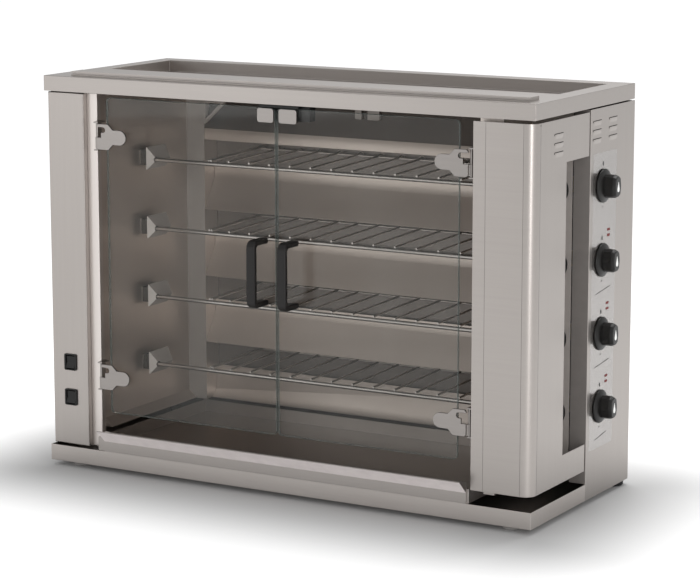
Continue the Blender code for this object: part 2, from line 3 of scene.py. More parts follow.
import bmesh
import bpy
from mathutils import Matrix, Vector


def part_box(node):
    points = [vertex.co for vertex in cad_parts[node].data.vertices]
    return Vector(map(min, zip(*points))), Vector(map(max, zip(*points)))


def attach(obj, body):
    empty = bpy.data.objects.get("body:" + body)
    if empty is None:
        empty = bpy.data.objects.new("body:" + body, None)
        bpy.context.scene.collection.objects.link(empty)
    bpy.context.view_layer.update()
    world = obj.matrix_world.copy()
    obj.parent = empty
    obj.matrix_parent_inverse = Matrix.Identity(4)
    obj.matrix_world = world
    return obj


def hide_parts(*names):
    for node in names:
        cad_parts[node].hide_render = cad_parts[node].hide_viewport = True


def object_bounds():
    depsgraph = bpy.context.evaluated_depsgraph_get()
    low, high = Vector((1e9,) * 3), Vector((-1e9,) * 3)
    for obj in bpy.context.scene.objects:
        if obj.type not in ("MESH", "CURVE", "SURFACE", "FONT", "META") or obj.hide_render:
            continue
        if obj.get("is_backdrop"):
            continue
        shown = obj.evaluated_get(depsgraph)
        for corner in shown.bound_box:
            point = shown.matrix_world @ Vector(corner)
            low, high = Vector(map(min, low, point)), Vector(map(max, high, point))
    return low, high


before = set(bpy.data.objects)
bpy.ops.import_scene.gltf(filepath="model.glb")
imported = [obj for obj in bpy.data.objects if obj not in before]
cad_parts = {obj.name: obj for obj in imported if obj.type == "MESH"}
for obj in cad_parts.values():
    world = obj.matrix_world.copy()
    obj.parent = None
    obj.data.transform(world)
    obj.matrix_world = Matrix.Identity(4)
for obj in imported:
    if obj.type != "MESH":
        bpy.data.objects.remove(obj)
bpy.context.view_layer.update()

# ---- Base tray ------------------------------------------------------------------------
# A shallow pan folded from 1.5 mm brushed stainless sheet, which everything else stands on.
# Its corners are welded and ground, so only the sheet's rim is sharp.
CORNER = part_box("base_tray")[0]       # every mesh is laid out from this corner of the pan
SHEET = 0.0015


class Wire:
    """A socket in a tree of nodes; arithmetic on it adds Math nodes."""

    def __init__(self, net, socket):
        self.net, self.socket = net, socket

    def maths(self, operation, first, second):
        return self.net.node("ShaderNodeMath", {"operation": operation}, {0: first, 1: second})

    def __add__(self, other):
        return self.maths("ADD", self, other)

    def __sub__(self, other):
        return self.maths("SUBTRACT", self, other)

    def __rsub__(self, other):
        return self.maths("SUBTRACT", other, self)

    def __mul__(self, other):
        return self.maths("MULTIPLY", self, other)

    def __pow__(self, other):
        return self.maths("POWER", self, other)

    __radd__, __rmul__ = __add__, __mul__


class Net:
    """A tree of nodes being wired, for a finish or for a repeated shape."""

    def __init__(self, tree):
        self.tree = tree
        tree.nodes.clear()

    def node(self, kind, settings=None, inputs=None, output=0):
        made = self.tree.nodes.new(kind)
        for key, value in (settings or {}).items():
            if key == "stops":
                for stop, (place, grey) in zip(made.color_ramp.elements, value):
                    stop.position, stop.color = place, (grey, grey, grey, 1)
            else:
                setattr(made, key, value)
        for key, value in (inputs or {}).items():
            if isinstance(value, Wire):
                self.tree.links.new(value.socket, made.inputs[key])
            else:
                made.inputs[key].default_value = value
        return Wire(self, made.outputs[output] if made.outputs else None)

    def noise(self, place, scale, detail=2.0):
        stretched = self.node("ShaderNodeMapping", None, {"Vector": place, "Scale": scale})
        inputs = {"Vector": stretched, "Scale": 1.0, "Detail": detail}
        return self.node("ShaderNodeTexNoise", None, inputs)

    def blend(self, amount, low, high):
        colours = {0: amount, 6: (*low, 1), 7: (*high, 1)}
        return self.node("ShaderNodeMix", {"data_type": "RGBA"}, colours, output=2)

    def bump(self, height, strength, distance):
        inputs = {"Height": height, "Strength": strength, "Distance": distance}
        return self.node("ShaderNodeBump", None, inputs)


def new_finish(name):
    """A material, the net of its empty tree, and the place on the oven that it reads."""
    material = bpy.data.materials.new(name)
    material.use_nodes = True
    net = Net(material.node_tree)
    return material, net, net.node("ShaderNodeTexCoord", output="Object")


def settle(net, shader):
    """End a finish's tree in its shader."""
    net.node("ShaderNodeOutputMaterial", None, {"Surface": shader})


def brushed_steel(name, along, dark, light, roughness):
    """Stainless sheet with fine strokes along one axis, faint bands and hand marks."""
    material, net, here = new_finish(name)
    fine, wide, slow = 420, 120, 2.5  # ripples per metre across, across a band, and along
    grain = net.noise(here, [slow * 3 if axis == along else fine for axis in "XYZ"], 3)
    bands = net.noise(here, [slow if axis == along else wide for axis in "XYZ"])
    marks = net.noise(here, (slow, slow, slow), 3)
    tint = grain * 0.35 + bands * 0.25 + marks * 0.40
    spread = net.node("ShaderNodeValToRGB", {"stops": ((0.25, 0), (0.75, 1))}, {"Fac": tint})
    settle(net, net.node("ShaderNodeBsdfPrincipled", None, {
        "Base Color": net.blend(spread, dark, light), "Metallic": 1.0,
        "Roughness": grain * 0.08 + marks * 0.08 + (roughness - 0.08),
        "Normal": net.bump(grain, 0.012, 0.0001)}))
    return material


STEEL_DARK, STEEL_LIGHT = (0.365, 0.337, 0.318), (0.405, 0.376, 0.356)
steel_across = brushed_steel("steel brushed across", "X", STEEL_DARK, STEEL_LIGHT, 0.36)


def merged(node):
    """A CAD node's shape with its triangles joined into faces, laid out from the corner."""
    bm = bmesh.new()
    bm.from_mesh(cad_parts[node].data)
    bmesh.ops.remove_doubles(bm, verts=bm.verts, dist=2e-6)
    bmesh.ops.dissolve_limit(bm, angle_limit=math.radians(1), verts=bm.verts, edges=bm.edges)
    bmesh.ops.translate(bm, verts=bm.verts, vec=-CORNER)
    return bm


def round_edges(bm, width, steps=2, above=28, chosen=None):
    """Bevel the edges that turn by more than an angle, or only the chosen ones."""
    sharp = [
        edge for edge in bm.edges
        if edge.is_manifold and edge.calc_face_angle() > math.radians(above)
        and (chosen is None or chosen(edge))]
    bmesh.ops.bevel(
        bm, geom=sharp, offset=width, offset_type="OFFSET", segments=steps, profile=0.5,
        affect="EDGES", clamp_overlap=True)
    return bm


def is_fold(edge):
    """True between two wide faces, and not on the rim of the sheet."""
    length = edge.calc_length()
    return length > 0.02 and min(face.calc_area() for face in edge.link_faces) > 2.5 * SHEET * length


def folded(node, bend=0.0022, rim=0.0005):
    """A sheet part: round folds, and a rim with its burrs taken off."""
    bm = round_edges(merged(node), bend, 4, 60, is_fold)
    return round_edges(bm, rim, 1, 60)


def show(bm, name, body, slot, finishes, *stands_for, sharp=48):
    """Turn a mesh laid out from the corner into a finished piece of the oven."""
    bmesh.ops.translate(bm, verts=bm.verts, vec=CORNER)
    mesh = bpy.data.meshes.new(name)
    bm.to_mesh(mesh)
    bm.free()
    for finish in finishes:
        mesh.materials.append(finish)
    mesh.shade_smooth()
    mesh.set_sharp_from_angle(angle=math.radians(sharp))
    obj = bpy.data.objects.new(name, mesh)
    bpy.context.scene.collection.objects.link(obj)
    obj.modifiers.new("even shading", "WEIGHTED_NORMAL").keep_sharp = True
    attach(obj, body)
    if stands_for:
        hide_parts(*stands_for)
    return obj


steel_base = brushed_steel("base steel", "X", (0.50, 0.462, 0.436), (0.54, 0.502, 0.475), 0.36)
show(folded("base_tray"), "pan", "root", "brushed_steel", [steel_base], "base_tray")

# ---- Feet -----------------------------------------------------------------------------
# Turned feet screwed to the pan: a moulded rubber pad with a ribbed side and a chamfer.
# The front pair is pale grey and the rear pair black.
FOOT_RADIUS = 0.0178
SOLE = 0.0035                         # the sole is this much smaller all round
CHAMFER = (0.0012, 0.0022)            # height, and how far in it still is at the top
RIBS, RIB_START, RIB_PITCH, RIB_WIDTH, RIB_DEPTH = 5, 0.0026, 0.0011, 0.0005, 0.0006
GROOVE_RADIUS = FOOT_RADIUS - 2 * RIB_DEPTH


def extent(node):
    """A CAD node's lowest and highest corners, measured from the corner of the pan."""
    low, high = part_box(node)
    return low - CORNER, high - CORNER


def turned(profile, axis, centre, sides=48):
    """Turn a profile of (place along the axis, radius) pairs that starts and ends on it."""
    bm = bmesh.new()
    frames = {
        "X": lambda a, u, v: (a, centre[0] + u, centre[1] + v),
        "Y": lambda a, u, v: (centre[0] + u, a, centre[1] + v),
        "Z": lambda a, u, v: (centre[0] + u, centre[1] + v, a)}
    rings = []
    for along, radius in profile:
        turns = [2 * math.pi * i / sides for i in range(sides if radius else 1)]
        rings.append([
            bm.verts.new(frames[axis](along, radius * math.cos(t), radius * math.sin(t)))
            for t in turns])
    for low, high in zip(rings, rings[1:]):
        for i in range(sides):
            j = (i + 1) % sides
            corners = [
                low[i % len(low)], low[j % len(low)], high[j % len(high)], high[i % len(high)]]
            bm.faces.new(list(dict.fromkeys(corners)))
    bmesh.ops.recalc_face_normals(bm, faces=bm.faces)
    return bm


def moulded(name, colour, roughness, pebble=0.10, coarse=2500):
    """Moulded rubber or plastic: an even colour under a fine spark-eroded texture."""
    material, net, here = new_finish(name)
    pores = net.noise(here, (coarse,) * 3)
    wear = net.noise(here, (45,) * 3, 3)
    light = [min(1.0, channel * 1.25 + 0.004) for channel in colour]
    settle(net, net.node("ShaderNodeBsdfPrincipled", None, {
        "Base Color": net.blend(wear, colour, light),
        "Roughness": wear * 0.12 + pores * 0.06 + (roughness - 0.09), "Specular IOR Level": 0.28,
        "Normal": net.bump(pores, pebble, 0.0002)}))
    return material


rubber_black = moulded("black rubber", (0.016, 0.016, 0.017), 0.62)
rubber_grey = moulded("pale rubber", (0.36, 0.345, 0.335), 0.55)

for place, finish in (
        ("front_left", rubber_grey), ("front_right", rubber_grey),
        ("rear_left", rubber_black), ("rear_right", rubber_black)):
    low, high = extent(f"foot_{place}")
    profile = [(low.z, 0), (low.z, FOOT_RADIUS - SOLE), (low.z + CHAMFER[0], FOOT_RADIUS - CHAMFER[1])]
    for step in range(RIBS):
        z = low.z + RIB_START + step * RIB_PITCH
        profile += [(z, GROOVE_RADIUS), (z + RIB_WIDTH, GROOVE_RADIUS + RIB_DEPTH)]
    profile += [(high.z - 0.0010, FOOT_RADIUS), (high.z - 0.0003, FOOT_RADIUS)]
    profile += [(high.z, FOOT_RADIUS - 0.0006), (high.z, 0)]
    centre = ((low.x + high.x) / 2, (low.y + high.y) / 2)
    show(turned(profile, "Z", centre), f"foot.{place}", "root", "rubber", [finish], f"foot_{place}")

# ---- Left column ----------------------------------------------------------------------
# The cover of the drive column is one folded sheet, brushed up and down, and the jamb
# beside it carries the left door's hinge brackets.
steel_upright = brushed_steel("steel brushed upright", "Z", STEEL_DARK, STEEL_LIGHT, 0.36)
column_cover = folded("left_column_cover")
show(column_cover, "column_cover", "root", "brushed_steel", [steel_upright], "left_column_cover")
# The jamb's steel is a lighter copy of the cover's, painted light against the shade of its recess.
jamb_steel_painted_light = brushed_steel("jamb steel painted lighter against shade", "Z", (0.66, 0.615, 0.585), (0.70, 0.655, 0.625), 0.42)
show(folded("left_jamb"), "door_jamb", "root", "brushed_steel", [jamb_steel_painted_light], "left_jamb")

# ---- Rocker switches ------------------------------------------------------------------
# Two snap-in rockers: a black bezel with rounded corners round a hollow-backed paddle,
# with a white bar moulded into its lower half.
BEZEL = (0.0135, 0.0155)              # half width and half height
MOUTH = (0.0103, 0.0133)              # the hole in the bezel, likewise
BAR, BAR_DROP = (0.0021, 0.0007), 0.0085
PANEL_FACE = 0.008
black_plastic = moulded("black moulding", (0.007, 0.007, 0.007), 0.38)
white_ink = moulded("white marking", (0.78, 0.78, 0.76), 0.45)


def rounded(half, radius, steps=5):
    """Rounded rectangle about (0, 0) as a closed list of points."""
    points = []
    for quarter, (sx, sy) in enumerate(((1, 1), (-1, 1), (-1, -1), (1, -1))):
        for step in range(steps + 1):
            angle = math.radians(90 * quarter + 90 * step / steps)
            points.append((
                sx * (half[0] - radius) + radius * math.cos(angle),
                sy * (half[1] - radius) + radius * math.sin(angle)))
    return points


def extruded(outline, axis, span, holes=()):
    """Extrude an outline along an axis; a hole has as many points as the outline."""
    bm = bmesh.new()
    lay = {
        "X": lambda a, b, c: (c, a, b),
        "Y": lambda a, b, c: (a, c, b),
        "Z": lambda a, b, c: (a, b, c)}[axis]
    loops = [
        [[bm.verts.new(lay(a, b, c)) for a, b in line] for c in span] for line in (outline, *holes)]
    for near, far in loops:
        for i in range(len(near)):
            j = (i + 1) % len(near)
            bm.faces.new((near[i], near[j], far[j], far[i]))
    for end in (0, 1):
        if holes:
            rim, mouth = loops[0][end], loops[1][end]
            for i in range(len(rim)):
                j = (i + 1) % len(rim)
                bm.faces.new((rim[i], rim[j], mouth[j], mouth[i]))
        else:
            bm.faces.new(loops[0][end])
    bmesh.ops.recalc_face_normals(bm, faces=bm.faces)
    return bm


def moved(bm, shift):
    """The same mesh, shifted."""
    bmesh.ops.translate(bm, verts=bm.verts, vec=shift)
    return bm


def joined(*parts):
    """Several meshes as one; the second and later may come with a material number."""
    whole = bmesh.new()
    for part in parts:
        bm, number = part if isinstance(part, tuple) else (part, None)
        if number is not None:
            for face in bm.faces:
                face.material_index = number
        mesh = bpy.data.meshes.new("joining")
        bm.to_mesh(mesh)
        bm.free()
        whole.from_mesh(mesh)
        bpy.data.meshes.remove(mesh)
    return whole


for number in (1, 2):
    low, high = extent(f"rocker_{number}")
    middle = Vector(((low.x + high.x) / 2, 0, (low.z + high.z) / 2))
    depth = (PANEL_FACE - 0.0030, PANEL_FACE)
    bezel = extruded(rounded(BEZEL, 0.003), "Y", depth, [rounded(MOUTH, 0.0010)])
    bezel = moved(round_edges(bezel, 0.0006), middle)
    show(bezel, f"switch_bezel.{number}", "root", "black_plastic", [black_plastic])
    paddle = round_edges(merged(f"rocker_{number}"), 0.0007, 3)
    bar = extruded(rounded(BAR, 0.0004), "Y", (low.y + 0.0012, low.y + 0.0030))
    bar = moved(bar, middle + Vector((0, 0, -BAR_DROP)))
    show(joined(paddle, (bar, 1)), f"switch_paddle.{number}", f"rocker_{number}", "black_plastic",
         [black_plastic, white_ink], f"rocker_{number}")

# ---- Drive ----------------------------------------------------------------------------
# A flange-mounted gear motor turns the lowest spit, and one roller chain over four cut
# sprockets turns the rest. It all runs dry behind the column cover.
TEETH, TOOTH_STEPS = 20, 6
TOOTH_MEAN, TOOTH_SWING = 0.0018, 0.0016    # depth under the tips, and half of the cut
HUB, HUB_CHAMFER = 0.0108, 0.001
oiled_steel = brushed_steel("oiled steel", "X", (0.055, 0.053, 0.051), (0.11, 0.105, 0.10), 0.42)


def sprocket(node):
    """Cut plate with wavy teeth, on a chamfered hub."""
    low, high = extent(node)
    centre = ((low.y + high.y) / 2, (low.z + high.z) / 2)
    plate = (low.x + 0.0055, low.x + 0.0095)
    tip = (high.y - low.y) / 2
    outline = []
    for i in range(TEETH * TOOTH_STEPS):
        turn = 2 * math.pi * i / (TEETH * TOOTH_STEPS)
        radius = tip - TOOTH_MEAN + TOOTH_SWING * math.cos(TEETH * turn)
        outline.append((centre[0] + radius * math.cos(turn), centre[1] + radius * math.sin(turn)))
    boss = turned([
        (low.x, 0), (low.x, HUB - HUB_CHAMFER), (low.x + HUB_CHAMFER, HUB),
        (high.x - HUB_CHAMFER, HUB), (high.x, HUB - HUB_CHAMFER), (high.x, 0)], "X", centre, 32)
    return joined(extruded(outline, "X", plate), boss)


for number in (1, 2, 3, 4):
    show(sprocket(f"drive_sprocket_{number}"), f"sprocket.{number}", f"spit_{number}", "dark_steel",
         [oiled_steel], f"drive_sprocket_{number}")


def new_tree(name, *sockets):
    """A tree with named inputs; gives its net and the inputs as wires."""
    tree = bpy.data.node_groups.new(name, "GeometryNodeTree")
    net = Net(tree)
    tree.interface.new_socket("Geometry", in_out="OUTPUT", socket_type="NodeSocketGeometry")
    for label, kind in sockets:
        tree.interface.new_socket(label, in_out="INPUT", socket_type=f"NodeSocket{kind}")
    source = tree.nodes.new("NodeGroupInput")
    return net, {label: Wire(net, source.outputs[label]) for label, _ in sockets}


def end_tree(net, geometry, finish):
    """End a tree in real geometry that wears its finish."""
    whole = net.node("GeometryNodeRealizeInstances", None, {"Geometry": geometry})
    dressed = net.node("GeometryNodeSetMaterial", None, {"Geometry": whole, "Material": finish})
    net.node("NodeGroupOutput", None, {"Geometry": dressed})
    return net.tree


def grown(tree, **values):
    """Run a tree with these inputs and give its result as one mesh."""
    holder = bpy.data.objects.new("holder", bpy.data.meshes.new("holder"))
    bpy.context.scene.collection.objects.link(holder)
    modifier = holder.modifiers.new("grow", "NODES")
    modifier.node_group = tree
    for item in tree.interface.items_tree:
        if item.in_out == "INPUT":
            modifier[item.identifier] = values[item.name.replace(" ", "_").lower()]
    evaluated = holder.evaluated_get(bpy.context.evaluated_depsgraph_get())
    mesh = bpy.data.meshes.new_from_object(evaluated)
    holder.modifiers.remove(modifier)
    bpy.data.objects.remove(holder)
    bm = bmesh.new()
    bm.from_mesh(mesh)
    bpy.data.meshes.remove(mesh)
    return bm


def pattern(bm, name):
    """A hidden object that a tree reads its repeated shape from."""
    mesh = bpy.data.meshes.new(name)
    bm.to_mesh(mesh)
    bm.free()
    obj = bpy.data.objects.new(name, mesh)
    obj.hide_render = True
    bpy.context.scene.collection.objects.link(obj)
    return obj


def chain_tree():
    """Links spaced evenly along a closed path and turned to follow it."""
    net, given = new_tree(
        "chain", ("Path", "Object"), ("Link", "Object"), ("Links", "Int"), ("Finish", "Material"))
    path = net.node("GeometryNodeObjectInfo", None, {"Object": given["Path"]}, "Geometry")
    line = net.node("GeometryNodeMeshToCurve", None, {"Mesh": path})
    even = net.node("GeometryNodeResampleCurve", None, {"Curve": line, "Count": given["Links"]})
    along = net.node("GeometryNodeInputTangent")
    turn = {"axis": "Y", "pivot_axis": "X"}
    facing = net.node("FunctionNodeAlignRotationToVector", turn, {"Vector": along})
    link = net.node("GeometryNodeObjectInfo", None, {"Object": given["Link"]}, "Geometry")
    places = {"Points": even, "Instance": link, "Rotation": facing}
    placed = net.node("GeometryNodeInstanceOnPoints", None, places)
    return end_tree(net, placed, given["Finish"])


CHAIN_LINKS, LINK_PITCH = 100, 0.0105
LINK_INSET = 0.0022                   # from the chain's outer edge to its pins
low, high = extent("drive_chain")
middle = ((low.x + high.x) / 2, (low.y + high.y) / 2)
wrap = (high.y - low.y) / 2 - LINK_INSET
route = bmesh.new()
around = []
for end, start in ((high.z - wrap - LINK_INSET, 0), (low.z + wrap + LINK_INSET, 180)):
    for step in range(13):
        angle = math.radians(start + 15 * step)
        around.append(route.verts.new((
            middle[0], middle[1] + wrap * math.cos(angle), end + wrap * math.sin(angle))))
for first, second in zip(around, around[1:] + around[:1]):
    route.edges.new((first, second))
plates = [
    extruded(rounded((LINK_PITCH * 0.62, 0.0020), 0.0019, 2), "X", faces)
    for faces in ((-0.0026, -0.0014), (0.0014, 0.0026))]
roller = turned([(-0.0013, 0), (-0.0013, 0.0018), (0.0013, 0.0018), (0.0013, 0)], "X", (0, 0), 8)
chain = grown(
    chain_tree(), path=pattern(route, "chain route"),
    link=pattern(joined(*plates, roller), "chain link"), links=CHAIN_LINKS, finish=oiled_steel)
show(chain, "roller_chain", "root", "dark_steel", [oiled_steel], "drive_chain")

motor = round_edges(merged("gear_motor"), 0.0025, 3)
show(motor, "motor", "root", "dark_steel", [oiled_steel], "gear_motor")

# ---- Chamber walls --------------------------------------------------------------------
# Semi-polished stainless sides. The left one carries four folded guides for the spit
# ends, the right one four open slots, and both have a sloping drip gutter.
UPRIGHT_DARK, UPRIGHT_LIGHT = (0.63, 0.570, 0.528), (0.66, 0.598, 0.555)
ACROSS_DARK, ACROSS_LIGHT = (0.53, 0.477, 0.440), (0.56, 0.505, 0.467)
bright_upright = brushed_steel("chamber steel upright", "Z", UPRIGHT_DARK, UPRIGHT_LIGHT, 0.44)
bright_across = brushed_steel("chamber steel across", "X", ACROSS_DARK, ACROSS_LIGHT, 0.46)


def crisp(node, rim=0.0005):
    """A part with no folds: only its burrs are taken off."""
    return round_edges(merged(node), rim, 2, 40)


def dressed(bm, choose):
    """Number each face's finish with a rule on its middle (from the corner) and its normal."""
    for face in bm.faces:
        face.material_index = choose(face.calc_center_median(), face.normal)
    return bm


GUTTER_TOP = 0.08
BOSS_X, GUIDE_X = 0.0840, 0.0990      # where a guide's boss and its folded face start
BOSS_Y = (0.18, 0.25)
GUIDE_END_Y, CORNER_STRIP_Y = 0.30, 0.34
DIVIDER_X, DIVIDER_Y = 0.89, 0.20     # the divider behind the slots lies past both
guide_steel = moulded("blasted steel", (0.30, 0.275, 0.258), 0.42)
# A lighter copy of the blasted steel, for the guide facet that faces the front: a painted highlight.
guide_painted_highlight = moulded("blasted steel catching light", (0.55, 0.520, 0.500), 0.36)
galvanised = moulded("galvanised sheet", (0.33, 0.300, 0.280), 0.50)


def left_wall_finish(middle, normal):
    """Blasted guide faces with a painted highlight on the facet that faces the front, bosses behind them
    painted dark as shade, a dull corner strip.
    """
    if middle.z < GUTTER_TOP:
        return 0
    if middle.x > GUIDE_X and middle.y < GUIDE_END_Y:
        return 2 if normal.y < -0.35 else 1
    # The bosses behind the guide faces wear the dark oiled steel as painted shade.
    if BOSS_X < middle.x < GUIDE_X and BOSS_Y[0] < middle.y < BOSS_Y[1]:
        return 3
    return int(middle.y > CORNER_STRIP_Y and normal.y < -0.9)


def right_wall_finish(middle, normal):
    """Galvanised where the sheet turns back behind the slots."""
    return int(middle.x > DIVIDER_X and middle.y > DIVIDER_Y)


wall_finishes = [bright_upright, guide_steel, guide_painted_highlight, oiled_steel]
left_wall = dressed(crisp("left_wall"), left_wall_finish)
show(left_wall, "chamber_wall.left", "root", "bright_steel", wall_finishes, "left_wall")
right_wall = dressed(crisp("right_wall"), right_wall_finish)
show(right_wall, "chamber_wall.right", "root", "bright_steel", [bright_upright, galvanised], "right_wall")

# ---- Rear panel -----------------------------------------------------------------------
# Insulated back, brushed outside and painted dark as shade on the chamber side. Two
# rows of pan head screws close it.
# Steel painted dark as shade, for the chamber's back, the hood's top and the lamp.
painted_shade_steel = brushed_steel("steel painted dark as shade", "X", (0.15, 0.137, 0.128), (0.20, 0.183, 0.172), 0.46)
back_panel = dressed(crisp("rear_panel", 0.0008), lambda middle, normal: int(normal.y < -0.9))
show(back_panel, "back_panel", "root", "brushed_steel", [steel_across, painted_shade_steel], "rear_panel")


def row_tree():
    """Copies of a shape in rows and columns."""
    net, given = new_tree(
        "rows of fittings", ("Shape", "Object"), ("First", "Vector"), ("Columns", "Int"),
        ("Rows", "Int"), ("Column Step", "Vector"), ("Row Step", "Vector"), ("Finish", "Material"))
    columns = net.node("GeometryNodeMeshLine", None, {
        "Count": given["Columns"], "Start Location": given["First"], "Offset": given["Column Step"]})
    rows = net.node("GeometryNodeMeshLine", None, {
        "Count": given["Rows"], "Offset": given["Row Step"]})
    grid = net.node("GeometryNodeInstanceOnPoints", None, {"Points": columns, "Instance": rows})
    points = net.node("GeometryNodeRealizeInstances", None, {"Geometry": grid})
    shape = net.node("GeometryNodeObjectInfo", None, {"Object": given["Shape"]}, "Geometry")
    placed = net.node("GeometryNodeInstanceOnPoints", None, {"Points": points, "Instance": shape})
    return end_tree(net, placed, given["Finish"])


rows_of_fittings = row_tree()
screw_steel = brushed_steel("screw steel", "X", (0.38, 0.37, 0.36), (0.55, 0.54, 0.53), 0.25)


def screw_head(radius=0.0042, socket=0.0016):
    """Domed pan head about the origin, with a round socket, standing out along Y."""
    dome = []
    for angle in (0, 20, 40, 58):
        slant = math.radians(angle)
        dome.append((radius * 0.55 * math.sin(slant), radius * math.cos(slant)))
    top = dome[-1][0]
    profile = [(0, 0)] + dome + [(top, socket), (top * 0.55, socket), (top * 0.5, 0)]
    return turned(profile, "Y", (0, 0), 18)


back = extent("rear_panel")[1].y
rear_screw = pattern(screw_head(), "rear screw")
screws = grown(
    rows_of_fittings, shape=rear_screw, first=(0.035, back - 0.0002, 0.075), columns=6, rows=2,
    column_step=(0.186, 0, 0), row_step=(0, 0, 0.585), finish=screw_steel)
show(screws, "rear_screws", "root", "brushed_steel", [screw_steel])

# ---- Deflectors and hood --------------------------------------------------------------
# Each burner has a lip in front and a sheet that slopes down to the niche below. The band
# and the hood close the top one, and a gusset stiffens the hood's left end.
BAND_TOP = 0.60                       # the hood's slope starts over this
GUSSET = [(0.1300, 0.6080), (0.1300, 0.6530), (0.1780, 0.6530)]
GUSSET_HOLE = [(0.1340, 0.6180), (0.1340, 0.6490), (0.1680, 0.6490)]
for number in (1, 2, 3, 4):
    sheet = folded(f"deflector_{number}", 0.0012)
    show(sheet, f"deflector.{number}", "root", "bright_steel", [bright_across], f"deflector_{number}")
# The hood's upper part is painted dark as shade, with the same steel as the panel behind.
hood = dressed(folded("top_band", 0.0012), lambda middle, normal: int(middle.z > BAND_TOP))
show(hood, "hood", "root", "bright_steel", [bright_across, painted_shade_steel], "top_band")
gusset = extruded(GUSSET, "Y", (0.336, 0.347), [GUSSET_HOLE])
show(round_edges(gusset, 0.0004, 1), "hood_gusset", "root", "bright_steel", [galvanised])

# ---- Burners --------------------------------------------------------------------------
# Straight burner bars pressed from steel with rounded edges, one along each niche. The
# deflectors hide them from the front.
for number in (1, 2, 3, 4):
    node = f"burner_{number}"
    show(crisp(node, 0.0012), f"burner.{number}", "root", "dark_steel", [oiled_steel], node)

# ---- Wire racks -----------------------------------------------------------------------
# Fourteen 4 mm wires welded on a cross rod at the back, with their front ends cut square
# just above each spit; the first is doubled.
WIRE_RADIUS, WIRES, DOUBLED = 0.0020, 14, 0.0052
wire_steel = brushed_steel("drawn wire", "Y", (0.44, 0.415, 0.395), (0.52, 0.495, 0.475), 0.36)


def rack_tree():
    """A wire's centre line given a round section and repeated across the rack."""
    net, given = new_tree(
        "wire rack", ("Line", "Object"), ("Radius", "Float"), ("Wires", "Int"),
        ("First", "Vector"), ("Pitch", "Vector"), ("Finish", "Material"))
    path = net.node("GeometryNodeObjectInfo", None, {"Object": given["Line"]}, "Geometry")
    line = net.node("GeometryNodeMeshToCurve", None, {"Mesh": path})
    section = net.node("GeometryNodeCurvePrimitiveCircle", None, {
        "Resolution": 12, "Radius": given["Radius"]})
    wire = net.node("GeometryNodeCurveToMesh", None, {
        "Curve": line, "Profile Curve": section, "Fill Caps": True})
    places = net.node("GeometryNodeMeshLine", None, {
        "Count": given["Wires"], "Start Location": given["First"], "Offset": given["Pitch"]})
    placed = net.node("GeometryNodeInstanceOnPoints", None, {"Points": places, "Instance": wire})
    return end_tree(net, placed, given["Finish"])


rack = rack_tree()


def polyline(points):
    """A line of edges through points."""
    bm = bmesh.new()
    verts = [bm.verts.new(point) for point in points]
    for first, second in zip(verts, verts[1:]):
        bm.edges.new((first, second))
    return bm


for number in (1, 2, 3, 4):
    low, high = extent(f"wire_rack_{number}")
    front, rear = (low.y, low.z + WIRE_RADIUS), (high.y - 0.002, high.z - WIRE_RADIUS)
    first, last = low.x + WIRE_RADIUS, high.x - WIRE_RADIUS
    crown = (rear[0] - 0.006, rear[1] + 0.0022)
    centre_line = polyline([
        (0, *front), (0, front[0] + 0.15, front[1] + 0.0045),
        (0, crown[0] - 0.012, rear[1] - 0.0006), (0, *crown),
        (0, rear[0] + 0.003, rear[1] - 0.0012)])
    shape = {
        "line": pattern(centre_line, f"wire line {number}"), "radius": WIRE_RADIUS, "finish": wire_steel}
    pitch = (last - first) / (WIRES - 1)
    wires = grown(rack, wires=WIRES, first=(first, 0, 0), pitch=(pitch, 0, 0), **shape)
    double = grown(rack, wires=1, first=(first + DOUBLED, 0, 0), pitch=(0, 0, 0), **shape)
    rod_at = (rear[0] - 0.0005, rear[1] - 2 * WIRE_RADIUS)
    ends = (first - 0.002, last + 0.004)
    cross = turned([
        (ends[0], 0), (ends[0], WIRE_RADIUS), (ends[1], WIRE_RADIUS), (ends[1], 0)], "X", rod_at, 12)
    show(joined(wires, double, cross), f"rack.{number}", "root", "bright_steel",
         [wire_steel], f"wire_rack_{number}")

# ---- Chamber lamp ---------------------------------------------------------------------
# Lamp holder screwed under the cap, over the front of the chamber, with two sprung clips.
# It is painted dark as shade, like the panel behind.
show(crisp("chamber_lamp", 0.0008), "lamp", "root", "dark_steel", [painted_shade_steel], "chamber_lamp")

# ---- Spits ----------------------------------------------------------------------------
# Round 8 mm rods, pointed at the drive end, each with a black heat-proof grip that is
# turned with a waist.
SPIT_RADIUS, SPIT_POINT = 0.0040, 0.0018
GRIP_LENGTH, WAIST = 0.038, 0.0010
spit_steel = brushed_steel("spit steel", "X", (0.34, 0.325, 0.312), (0.44, 0.422, 0.408), 0.28)
for number in (1, 2, 3, 4):
    low, high = extent(f"spit_{number}")
    centre = ((low.y + high.y) / 2, (low.z + high.z) / 2)
    grip = (high.z - low.z) / 2 - 0.0002
    start = high.x - GRIP_LENGTH
    rod = turned([
        (low.x, 0), (low.x + 0.001, SPIT_POINT), (low.x + 0.008, SPIT_RADIUS),
        (start + 0.002, SPIT_RADIUS), (start + 0.002, 0)], "X", centre, 24)
    handle = turned([
        (start, 0), (start, grip - 0.004), (start + 0.001, grip - 0.0015), (start + 0.003, grip),
        (start + 0.010, grip), (start + 0.016, grip - WAIST), (start + 0.026, grip - WAIST),
        (high.x - 0.005, grip), (high.x - 0.002, grip - 0.001), (high.x - 0.0005, grip - 0.003),
        (high.x, grip - 0.006), (high.x, 0)], "X", centre)
    show(joined(rod, (handle, 1)), f"spit.{number}", f"spit_{number}", "bright_steel",
         [spit_steel, black_plastic], f"spit_{number}")

